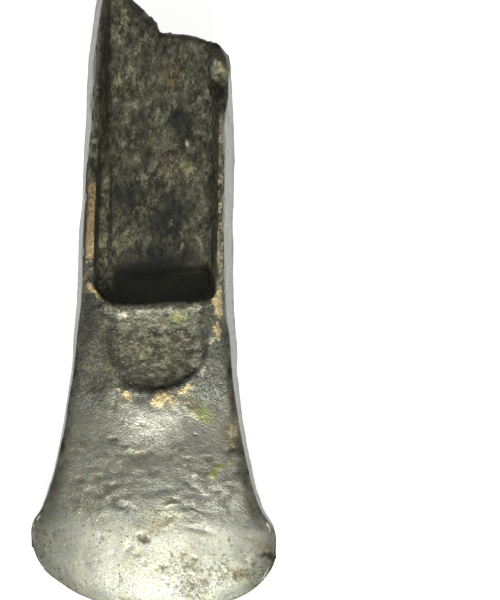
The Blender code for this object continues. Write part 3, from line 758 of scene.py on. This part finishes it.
def tint_flanges(skin):
    """Brown bare strip along the left flange's top, a browner and patchier one along the right's."""
    x, s, ragged = skin.x, skin.s, skin.ragged
    on_top = skin.flange_top * skin.front
    inside = ramp(skin.share, 1, 0.975)
    bare_to = polyline(BARE_STRIP, s)
    left_strip = on_top * skin.left * between(s + 0.3 * ragged, 87.6, 88.6, 106.4, 107.4)
    left_strip = left_strip * ramp(-x + 0.24 * ragged, bare_to + 0.15, bare_to - 0.15)
    right_strip = on_top * skin.right * between(s, 78, 81, 124, 127) * inside
    right_strip = right_strip * (0.35 + 0.65 * ramp(ragged, -0.3, 0.25))
    rubbed = np.maximum(0.22 * (left_strip + right_strip), 0.60 * left_strip * ramp(s, 99, 90))
    behind = skin.flange_top * (skin.face < 0) * ramp(skin.broad + 0.5 * ragged, 0, 0.4) * inside
    skin.paint("gold", rubbed * (0.75 + 0.4 * skin.middle))
    skin.paint("gold", 0.5 * behind)
    skin.paint("bare", left_strip)
    skin.paint("earth", left_strip * inside + 0.75 * right_strip)
    skin.paint("earth", 0.45 * on_top * ramp(ragged, 0, 0.4))
    skin.paint("pale", right_strip * (0.18 + 0.30 * ramp(s, 114, 106)))
    skin.paint("dull", skin.flange_top)
    outer_line = skin.left * ramp(-x, bare_to, bare_to + 0.3) * between(s, 82, 87, 108, 116)
    skin.paint("dark", 0.75 * on_top * outer_line)


def tint_seat(skin):
    """Dull floor and walls, with painted shadow black below the stop, painted light on the walls and at that
    shadow's left end, and painted shade high on the walls where they meet the flanges.
    """
    x, s, wall, middle = skin.x, skin.s, skin.wall, skin.middle
    on_wall = skin.on_wall * skin.front
    left_wall, right_wall = on_wall * skin.left, on_wall * skin.right
    skin.paint("dull", skin.seat_floor)
    skin.paint("dull", skin.on_wall)
    # olive patina on the walls, and painted light that lifts them out of the shade the lamp leaves there;
    # near the stop it lifts the right wall out of the stop's cast shadow
    skin.paint("olive", on_wall * np.where(skin.right, 0.20, 0.4))
    skin.paint("olive", right_wall * ramp(s, 94, 86))
    skin.paint("pale", 0.23 * right_wall)

    # painted shadow: the corner below the stop is painted black on past the end of the stop's cast shadow,
    # which ends at SHADE_LINE
    painted_shadow_to = polyline(PAINTED_SHADOW_LINE, x) - 0.7 + 0.9 * skin.ragged + 0.5 * middle
    shade_to = polyline(SHADE_LINE, x)
    in_corner = skin.seat_floor * skin.front + left_wall
    painted_shadow = in_corner * ramp(s, painted_shadow_to + 2.8, painted_shadow_to - 1.6)
    skin.paint("dark", painted_shadow * ramp(s, shade_to - 1.6, shade_to + 0.2))
    # painted light: olive lightens the floor inside the stop's cast shadow
    skin.paint("olive", painted_shadow * ramp(s, shade_to + 0.4, shade_to - 1.6))
    # this tint evens out the mottles of the painted shadow and blackens it
    skin.paint("polish_and_shade", in_corner * ramp(s, painted_shadow_to + 0.4, painted_shadow_to - 2.4))
    # painted light on the left end of the corner, which lies in the cast shadow
    lit_corner = ramp(x, -9, -12) * between(s, 79, 82.5, 83.8, 85.8)
    lit_corner = lit_corner * (skin.seat_floor * skin.front + on_wall)
    skin.paint("pale", lit_corner * (0.52 + 0.3 * middle))

    # painted shade high on the walls where they meet the flanges, and along the foot of the shelf
    near_stop = ramp(s, 97, 88)
    painted_left_wall_shade = ramp(wall, 0.66 + 0.18 * near_stop, 0.80 + 0.10 * near_stop)
    painted_right_wall_shade = ramp(wall, 0.80, 0.93) * ramp(s, 136, 131)
    painted_wall_shade = np.where(skin.left, painted_left_wall_shade, painted_right_wall_shade) * np.where(skin.right, ramp(s, 84, 92), 1)
    skin.paint("dark", 0.6 * skin.on_wall * painted_wall_shade)
    painted_shelf_foot_shade = skin.haft * skin.front * bell(x, -11.4, 0.35) * between(s, 84, 89, 108, 113)
    skin.paint("dark", 0.9 * painted_shelf_foot_shade)
    shelf_top = left_wall * between(wall, 0.10, 0.20, 0.60, 0.70) * between(s, 84, 88, 108, 112)
    skin.paint("pale", 0.35 * skin.fine * shelf_top)
    # painted shade on the left wall towards the butt
    skin.paint("dark", left_wall * ramp(s, 110, 122) * (0.95 - 0.40 * bell(s, 123, 8)))


def tint_lip_and_shield(skin):
    """Olive lip with painted highlight, dull shield panel, and painted shade in the groove round the panel's
    foot.
    """
    x, s, ragged, middle = skin.x, skin.s, skin.ragged, skin.middle
    rim = skin.lip * ramp(s, 71.2, 72.4)
    skin.paint("olive", rim * (0.6 + 0.4 * middle))
    # painted highlight: pale streaks along the lip
    skin.paint("pale", rim * (0.08 + 0.2 * ramp(s, 74, 75.5) + 0.3 * ragged))
    skin.paint("dull", skin.shield * (0.9 - 0.6 * ramp(s + 0.4 * ragged, LIP_FOOT_S, LIP_FULL_S)))
    reach = skin.reach + 0.08 * ragged + 0.05 * middle
    thick = 0.10 + 0.16 * ramp(x, -4, 5)
    groove = ramp(reach, 0.98 - 2 * thick, 0.98 - thick) * ramp(reach, 1.02, 0.95) * skin.below_stop
    groove = groove * (0.42 + 0.52 * ramp(x, -5, 0)) * (1 - 0.4 * ramp(x, 8, 11.5))
    # painted shade in the groove round the shield's foot
    skin.paint("dark", skin.front * groove * ramp(s + 0.3 * x, 66, 59.5) * (0.75 + 0.6 * middle))


def tint_blade(skin):
    """Margins darkened with painted shade, striped ribs beside the shield, and the bare bevel with painted
    highlight and rust near its middle.
    """
    x, s, ragged, middle = skin.x, skin.s, skin.ragged, skin.middle
    below_seat = ramp(s, 76, 68) * skin.below_stop
    # painted shade along the blade's side edges, with brown patches in it
    margin_from = 0.93 - 0.03 * skin.right * ramp(s, 22, 28)
    margin = ramp(skin.share + 0.03 * ragged, margin_from, 0.985) * below_seat * (1 - skin.side)
    margin = margin * (1 - skin.tints["olive"]) * (0.30 + 0.43 * ramp(s, 22, 40)) * (1 + 1.2 * middle)
    skin.paint("dark", margin)
    skin.paint("earth", margin * ramp(skin.ragged_too + 0.5 * skin.fine, 0, 0.5) * ramp(s, 20, 28))
    skin.paint("dark", 0.5 * bell(x, -17.2, 3.8) * ramp(s, 44, 54) * below_seat)

    front_ribs = skin.ribs * skin.front
    stripes = noise(np.stack([(x + 0.4 * middle) / 1.9, s / 11, 0 * x], axis=-1), 95)
    skin.paint("dull", skin.ribs * np.where(skin.left, 0.5, 0.4))
    skin.paint("dark", front_ribs * np.where(skin.left, 0.6, 0.16) * ramp(stripes, 0.25, -0.45))
    skin.paint("pale", front_ribs * skin.left * ramp(stripes, 0, 0.6) * (0.15 + 0.4 * skin.fine))

    bevel = skin.blade * skin.front * ramp(s + 0.6 * ragged, BEVEL_FROM_S, BEVEL_FULL_S)
    skin.paint("polish_and_shade", bevel)
    bare = skin.blade * skin.tints["polish_and_shade"]
    # rubbed metal and painted highlight, strongest in the middle of the bevel
    skin.paint("worn", bare * (0.04 + 0.17 * bell(x, -1, 13) * ramp(s, 3, 9)))
    rust = ramp(skin.noise(1.4, 3, 97), 0.20, 0.50) * bell(x, 4, 9)
    skin.paint("earth", 0.75 * bare * rust * ramp(s, 6, 12))
    edge_line = skin.bend * skin.blade * ramp(s - edge_s(x), 1.2, 0.3) * ramp(np.abs(x + 2), 8, 16)
    skin.paint("earth", 0.55 * edge_line)
    coarse = 0.05 + 0.6 * ramp(s, 20, 27) + 0.3 * skin.blotch + 1.2 * skin.shield + 0.7 * skin.ribs
    skin.tints["coarse"] = coarse + 1.1 * skin.lip * ramp(s, 70, 72)


def tint_sides(skin):
    """Grey sides, duller towards the butt and dark at the edge's corners, with a worn line at the back."""
    s, z, side = skin.s, skin.z, skin.side
    grey = 0.42 + 0.10 * ramp(s, 62, 56) + 0.25 * ramp(s, 44, 30) - 0.14 * bell(s, 70, 7)
    skin.paint("side", side * (grey + 0.45 * ramp(z + skin.middle, 1, -2)))
    skin.paint("dull", 0.55 * side * ramp(skin.broad, 0, 0.5) * ramp(s, 88, 108))
    edge_corner = side * ramp(s + skin.ragged, 24, 20)
    skin.paint("dull", edge_corner)
    skin.paint("dark", 0.75 * edge_corner)
    back_line = bell(skin.out, 0.10, 0.07) * (skin.face < 0) * skin.right * between(s, 14, 20, 90, 112)
    skin.paint("worn", back_line * (0.7 + 0.6 * skin.ragged))


def tint_break(skin):
    """The broken end and the faces' edges beside it."""
    x = skin.x
    to_break = polyline(BREAK_LINE, x) - skin.s + 0.6 * skin.ragged
    near_break = ramp(to_break, 1.1 * break_bevel(x) + 1.1, 0.8 * break_bevel(x) + 0.4)
    near_break = near_break * skin.haft * skin.front * (x < 12.5)
    skin.paint("dark", np.maximum(0.9 * skin.broken, near_break) * (0.8 + 0.5 * skin.middle))
    skin.paint("dull", 0.8 * skin.broken)


def weathered(points):
    """The surface with its relief along the normal in mm, and how much of each tint every point has."""
    skin = Skin(points)
    for treat in (roughen, corrode_blade, nick_and_pit):
        treat(skin)
    spread_marks(skin, FRONT_MARKS, skin.x, skin.front)
    spread_marks(skin, SIDE_MARKS, skin.z, skin.side * skin.right)
    for treat in (tint_flanges, tint_seat, tint_lip_and_shield, tint_blade, tint_sides, tint_break):
        treat(skin)
    for tint, amount in skin.tints.items():
        skin.tints[tint] = np.clip(amount, 0, MOST_COARSE if tint == "coarse" else 1)
    return skin


# ---------------------------------------------------------------- material, stage and the rest


class Value:
    """What a node gives out, for sums like those of plain numbers."""

    def __init__(self, nodes, socket):
        self.nodes = nodes
        self.socket = socket

    def __add__(self, other):
        return self.nodes.math("ADD", self, other)

    def __sub__(self, other):
        return self.nodes.math("SUBTRACT", self, other)

    def __rsub__(self, other):
        return self.nodes.math("SUBTRACT", other, self)

    def __mul__(self, other):
        return self.nodes.math("MULTIPLY", self, other)

    def step(self, low, high, to_low=0.0, to_high=1.0):
        """A smooth step from to_low to to_high while this goes from low to high."""
        inputs = dict(enumerate((self, low, high, to_low, to_high)))
        return self.nodes.add("MapRange", inputs, interpolation_type="SMOOTHSTEP")

    def moved(self, share, target):
        """This number moved this share of the way to the target."""
        return self + (target - self) * share


class Nodes:
    """Short ways to add and join the nodes of one tree."""

    def __init__(self, owner):
        owner.use_nodes = True
        self.tree = owner.node_tree
        self.tree.nodes.clear()

    def add(self, kind, inputs, output=0, **settings):
        """Adds a node with these inputs and settings, and returns one of its outputs if it has any."""
        node = self.tree.nodes.new("ShaderNode" + kind)
        for name, value in settings.items():
            setattr(node, name, value)
        for key, value in inputs.items():
            if isinstance(value, Value):
                self.tree.links.new(value.socket, node.inputs[key])
            else:
                node.inputs[key].default_value = value
        return Value(self, node.outputs[output]) if node.outputs else None

    def math(self, operation, first, second=0.0):
        return self.add("Math", {0: first, 1: second}, operation=operation)

    def mix(self, share, first, second):
        """The colour first moved this share of the way to second."""
        return self.add("Mix", {0: share, 6: first, 7: second}, 2, data_type="RGBA")

    def noise(self, coordinates, size_mm, detail=3.0, roughness=0.6):
        """Noise whose features are this size, about 0.5 on average."""
        inputs = {"Vector": coordinates, "Scale": 1 / MM / size_mm, "Detail": detail, "Roughness": roughness}
        return self.add("TexNoise", inputs, "Fac")


def rgb(red, green, blue):
    return (red, green, blue, 1.0)


def bronze_noises(n, mask):
    """The noises that break up the bronze's colours, by name."""
    where = n.add("TexCoord", {}, "Object")
    lengthened = n.add("VectorMath", {0: where, 1: (1.0, 0.6, 1.0)}, operation="MULTIPLY")
    widened = n.add("VectorMath", {0: where, 1: (0.62, 1.0, 1.0)}, operation="MULTIPLY")
    lengthwise = n.noise(lengthened, 2.3, 5.0, 0.92)
    crosswise = n.noise(widened, 1.6, 5.0, 0.95)
    patina = lengthwise.moved(mask["coarse"].step(0.9, 1.6), crosswise)
    speck = n.noise(where, 0.9, 2.0)
    return {
        "broad": n.noise(where, 7.0), "middle": n.noise(lengthened, 2.6, 4.0),
        "tinge": n.noise(where, 1.9, 3.0, 0.7), "flakes": n.noise(widened, 1.3, 1.0), "speck": speck,
        "grain": n.noise(where, 0.46, 2.0), "patina": patina, "patchy": (patina + speck - 1.0) * 1.5,
    }


def glossy_skin(n, mask, noises):
    """Colour of the glossy skin: grey-green to grey, paler where worn and under painted highlights, and
    speckled where coarse.
    """
    broad, tinge = noises["broad"], noises["tinge"]
    colour = n.mix(broad.step(0.38, 0.62), rgb(0.164, 0.176, 0.160), rgb(0.206, 0.213, 0.182))
    speckled = noises["grain"].step(0.42, 0.62, 0.0, 0.8) * mask["coarse"]
    dots = noises["speck"].step(0.61, 0.68, 0.0, 0.8) * broad.step(0.42, 0.56, 0.25, 1.0)
    for share, shade in (
        (tinge.step(0.42, 0.64, 0.0, 0.55), rgb(0.185, 0.178, 0.124)),
        (tinge.step(0.48, 0.34, 0.0, 0.5), rgb(0.150, 0.168, 0.172)),
        # worn: rubbed metal, and on the blade painted highlight too
        (mask["worn"], rgb(0.34, 0.335, 0.30)),
        (n.math("MINIMUM", speckled, 1.0), rgb(0.060, 0.064, 0.055)),
        (mask["polish_and_shade"] * dots, rgb(0.070, 0.066, 0.048)),
        (mask["olive"] * 0.55, rgb(0.150, 0.145, 0.085)),
        (mask["side"] * 0.80, rgb(0.074, 0.082, 0.084)),
    ):
        colour = n.mix(share, colour, shade)
    return colour


def dull_patina(n, mask, noises):
    """Colour of the dull patina, nearly black in its deepest mottles."""
    colour = n.mix(noises["tinge"].step(0.38, 0.62), rgb(0.056, 0.051, 0.041), rgb(0.051, 0.053, 0.033))
    # the olive painted to lighten the cast shadow below the stop is greyer there
    olive = n.mix(mask["polish_and_shade"], rgb(0.098, 0.096, 0.060), rgb(0.094, 0.097, 0.078))
    colour = n.mix(mask["olive"], colour, olive)
    colour = n.mix(mask["smooth"] * 0.85, colour, rgb(0.013, 0.014, 0.012))
    contrast = mask["coarse"] * 2.5 + noises["broad"].step(0.36, 0.64, 5.5, 12.0)
    # the mottles fade under the painted shadow below the stop and on the bevel
    contrast = contrast * mask["polish_and_shade"].step(0.0, 1.0, 1.0, 0.1)
    strength = n.math("EXPONENT", (noises["patina"] - 0.5) * contrast)
    return n.add("VectorMath", {0: colour, 3: n.math("MINIMUM", strength, 3.2)}, operation="SCALE")


def patched(n, mask, noises, colour, gold):
    """The colour with flecks where it is coarse, ragged patches of other tints, and bare metal."""
    tinge, speck, grain = noises["tinge"], noises["speck"], noises["grain"]
    flecks = noises["flakes"].step(0.64, 0.72, 0.0, 0.75) * mask["coarse"].step(1.0, 1.5)
    fleck_shade = n.mix(tinge.step(0.46, 0.54), rgb(0.30, 0.29, 0.23), rgb(0.19, 0.145, 0.085))
    colour = n.mix(flecks, colour, fleck_shade)
    for tint, share, shade in (
        ("earth", 0.8, rgb(0.125, 0.095, 0.052)),
        ("bare", 0.92, n.mix(speck.step(0.43, 0.60), rgb(0.262, 0.186, 0.092), rgb(0.085, 0.062, 0.037))),
        ("green", 0.8, rgb(0.190, 0.200, 0.080)),
        ("pale", 0.75, rgb(0.45, 0.44, 0.37)),
    ):
        amount = (mask[tint] + noises["patchy"]).step(0.10, 0.90, 0.0, share) * mask[tint].step(0.0, 0.15)
        colour = n.mix(amount, colour, shade)
    return n.mix(gold, colour, n.mix(grain.step(0.35, 0.6), rgb(0.68, 0.55, 0.33), rgb(0.38, 0.29, 0.155)))


def darkened(n, mask, noises, colour):
    """The colour under dark patina and painted shade: brownish on the bare bevel, black in the seat, and
    blacker still under the painted shadow below the stop.
    """
    dark, dull, polish_and_shade = mask["dark"], mask["dull"], mask["polish_and_shade"]
    on_bevel = polish_and_shade * (1.0 - dull)
    uneven = (dark + noises["patchy"] * 0.8).step(0.05, 0.85)
    cover = noises["patina"].step(0.42, 0.60, 0.95, 0.65).moved(polish_and_shade, 0.96)
    # nearly black under the painted shadow below the stop, brownish on the bevel
    dark_colour = n.mix(polish_and_shade * dull, rgb(0.011, 0.011, 0.009), rgb(0.002, 0.002, 0.002))
    dark_colour = n.mix(on_bevel, dark_colour, rgb(0.042, 0.038, 0.026))
    return n.mix(dark.moved(on_bevel, uneven) * cover, colour, dark_colour)


def bronze_material():
    """Dark glossy patina, dull and mottled in the hollows, with bare metal where it has been rubbed, and the
    painted shade, shadow and highlights that the tints carry.
    """
    material = bpy.data.materials.new("weathered_bronze_and_painted_light")
    n = Nodes(material)
    mask = {tint: n.add("Attribute", {}, "Fac", attribute_name=tint) for tint in TINTS}
    noises = bronze_noises(n, mask)
    dull, polish_and_shade, grain = mask["dull"], mask["polish_and_shade"], noises["grain"]

    gold = (mask["gold"] + noises["patchy"]).step(0.25, 0.80) * mask["gold"].step(0.0, 0.2)
    colour = n.mix(dull, glossy_skin(n, mask, noises), dull_patina(n, mask, noises))
    colour = darkened(n, mask, noises, patched(n, mask, noises, colour, gold))
    rough = dull.step(0.0, 1.0, 0.36, 0.62) + grain.step(0.3, 0.7, -0.05, 0.10)
    fine = (grain + noises["speck"] * 0.35) * (mask["coarse"] + (0.4 - polish_and_shade * 0.10))
    height = fine + noises["middle"] * (0.4 - polish_and_shade * 0.3)
    shader = n.add("BsdfPrincipled", {
        "Base Color": colour,
        "Metallic": n.math("MAXIMUM", gold * 0.7, dull.step(0.0, 1.0, 0.55, 0.05)),
        "Roughness": rough - mask["smooth"] * 0.04 + polish_and_shade * 0.03,
        "Specular IOR Level": 0.25,
        "Normal": n.add("Bump", {"Strength": 1.0, "Distance": BUMP_DEPTH * MM, "Height": height}),
    })
    n.add("OutputMaterial", {"Surface": shader})
    return material


def linked(name, data):
    """A new object in the scene."""
    thing = bpy.data.objects.new(name, data)
    bpy.context.collection.objects.link(thing)
    return thing


def axe_frame():
    """The casting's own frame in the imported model: its origin, and its X, S and Z directions."""
    mounts = {mount["name"]: mount for mount in frame["record"]["mounts"]}
    septum = mounts["front_septum_face"]
    right = Vector((1.0, 0.0, 0.0))
    up = Vector(septum["axis"])
    along = up.cross(right)
    origin = Vector(septum["pos_m"]) - along * SEPTUM_MOUNT_S * MM - up * SEPTUM_HALF * MM
    return origin, right, along, up


def add_axe():
    points, faces = casting_mesh()
    skin = weathered(points)
    places = skin.places + normals_of(skin.places, faces) * skin.relief[:, None]
    origin, right, along, up = axe_frame()
    world = places * MM @ np.array([right, along, up]) + np.array(origin)
    world[:, 2] = np.maximum(world[:, 2], 0.0)  # nothing may reach below the floor

    mesh = bpy.data.meshes.new("bronze_axe_head")
    mesh.from_pydata(world.tolist(), [], faces.tolist())
    mesh.shade_smooth()
    for tint, values in skin.tints.items():
        mesh.attributes.new(tint, "FLOAT", "POINT").data.foreach_set("value", values.astype(np.float32))
    mesh.materials.append(bronze_material())
    axe = linked("bronze_axe_head", mesh)
    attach(axe, "root")
    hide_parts("axe_head")


def add_floor():
    """A pale floor that glows, as near to white as the photo's ground."""
    mesh = bpy.data.meshes.new("floor")
    half = FLOOR_SIZE / 2
    corners = [(-half, -half, 0), (half, -half, 0), (half, half, 0), (-half, half, 0)]
    mesh.from_pydata(corners, [], [(0, 1, 2, 3)])
    material = bpy.data.materials.new("pale_floor")
    n = Nodes(material)
    shader = n.add("BsdfPrincipled", {
        "Base Color": rgb(0.62, 0.62, 0.61),
        "Roughness": 0.8,
        "Specular IOR Level": 0.2,
        "Emission Color": rgb(1.0, 1.0, 1.0),
        "Emission Strength": FLOOR_GLOW,
    })
    n.add("OutputMaterial", {"Surface": shader})
    mesh.materials.append(material)
    floor = linked("floor", mesh)


def add_softbox(name, off_vertical, turned, watts, wide, tall, shade):
    """An area light this many degrees off vertical, towards the edge and turned to the right."""
    lamp = bpy.data.lights.new(name, "AREA")
    lamp.shape = "RECTANGLE"
    lamp.size, lamp.size_y = wide, tall
    lamp.energy = watts
    lamp.color = shade
    light = linked(name, lamp)
    lean, turn = math.radians(off_vertical), math.radians(turned)
    towards = Vector((math.sin(lean) * math.sin(turn), -math.sin(lean) * math.cos(turn), math.cos(lean)))
    light.location = towards * LAMP_DISTANCE
    light.rotation_euler = towards.to_track_quat("Z", "Y").to_euler()
    light.visible_camera = False


def add_world():
    """Light from all round, white at the horizon and dimmer overhead."""
    world = bpy.data.worlds.new("studio")
    bpy.context.scene.world = world
    n = Nodes(world)
    height = n.add("SeparateXYZ", {0: n.add("TexCoord", {}, "Generated")}, "Z")
    shade = n.mix(height.step(0.04, 0.20), rgb(1.0, 1.0, 1.0), rgb(*ZENITH))
    n.add("OutputWorld", {"Surface": n.add("Background", {"Color": shade})})


def add_camera():
    """Square onto the front face, with the axe in the left half of the frame and leaning a little."""
    origin, right, along, up = axe_frame()
    data = bpy.data.cameras.new("camera")
    data.sensor_width = SENSOR
    data.lens = SENSOR * CAMERA_HEIGHT / FRAME_HEIGHT
    data.clip_start, data.clip_end = 0.05, 50.0
    camera = linked("camera", data)
    lean = math.radians(AXE_LEANS)
    image_right = right * math.cos(lean) + along * math.sin(lean)
    image_up = along * math.cos(lean) - right * math.sin(lean)
    place = origin + (right * AIM_X + along * AIM_S + up * CAMERA_HEIGHT) * MM
    turned = Matrix((image_right, image_up, up)).transposed().to_4x4()
    camera.matrix_world = Matrix.Translation(place) @ turned
    bpy.context.scene.camera = camera


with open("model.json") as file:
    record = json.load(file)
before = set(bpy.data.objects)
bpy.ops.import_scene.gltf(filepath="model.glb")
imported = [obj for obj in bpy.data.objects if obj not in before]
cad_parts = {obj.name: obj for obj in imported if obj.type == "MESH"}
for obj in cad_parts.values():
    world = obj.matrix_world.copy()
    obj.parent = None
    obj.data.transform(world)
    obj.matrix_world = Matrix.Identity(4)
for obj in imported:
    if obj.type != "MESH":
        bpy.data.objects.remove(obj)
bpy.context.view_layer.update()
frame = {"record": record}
bpy.context.scene.view_settings.view_transform = "Standard"
add_axe()
add_floor()
add_softbox("key", off_vertical=47.0, turned=3.0, watts=114.0, wide=1.2, tall=0.5, shade=(1.0, 0.992, 0.895))
add_world()
add_camera()
